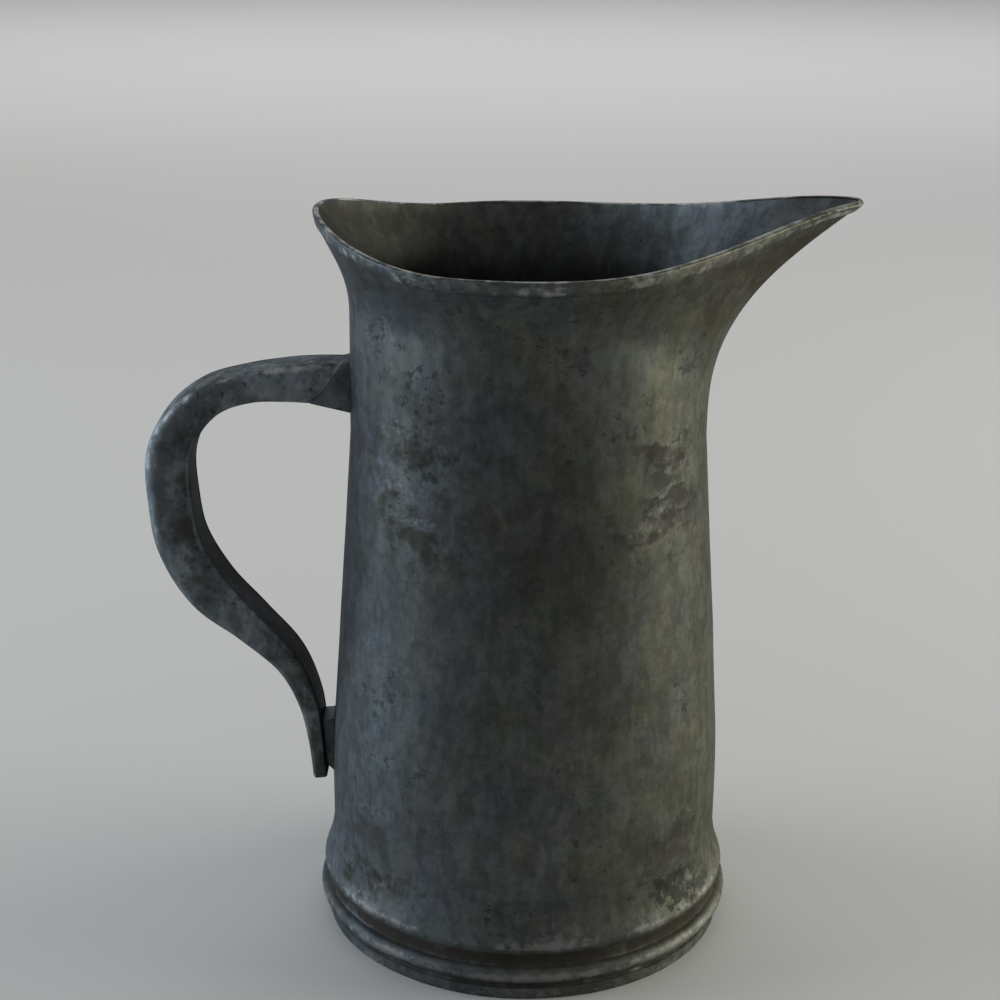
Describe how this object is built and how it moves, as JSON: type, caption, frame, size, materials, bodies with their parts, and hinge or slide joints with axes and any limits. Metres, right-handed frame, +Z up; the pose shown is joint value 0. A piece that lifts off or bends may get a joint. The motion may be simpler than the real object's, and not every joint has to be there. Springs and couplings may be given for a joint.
{
  "type": "lipped pouring jug",
  "caption": "Tall round sheet-metal jug with a flared lip drawn out into a pointed spout, a moulded foot ring and a tapering ear handle.",
  "frame": {"origin": "centre of the foot ring's underside, on the barrel's axis", "axes": "+Z up along the barrel's axis, +X towards the spout's tip, the handle at -X, +Y completes the right-handed frame"},
  "size_m": [0.2176, 0.1334, 0.2339],
  "materials": {
    "wall_metal": "dull dark tinned sheet with patina, pits and vertical streaks",
    "lip_metal": "dull dark tinned sheet with patina, darker inside",
    "rim_metal": "worn paler edge",
    "foot_metal": "dull dark metal with worn beads and dirty grooves",
    "base_metal": "dark dull sheet",
    "solder": "dull solder",
    "handle_metal": "mottled dark sheet with worn edges",
    "strap_metal": "dark dull sheet",
    "bracket_metal": "dark dull metal"
  },
  "bodies": {
    "root": {"barrel": "wall_metal", "lip_collar": "lip_metal", "rim_band": "rim_metal", "foot_ring": "foot_metal", "base_plate": "base_metal", "base_solder": "solder", "handle_gutter": "handle_metal", "handle_strap": "strap_metal", "tail_plate": "handle_metal", "upper_bracket": "bracket_metal", "lower_strut": "bracket_metal"}
  },
  "joints": []
}
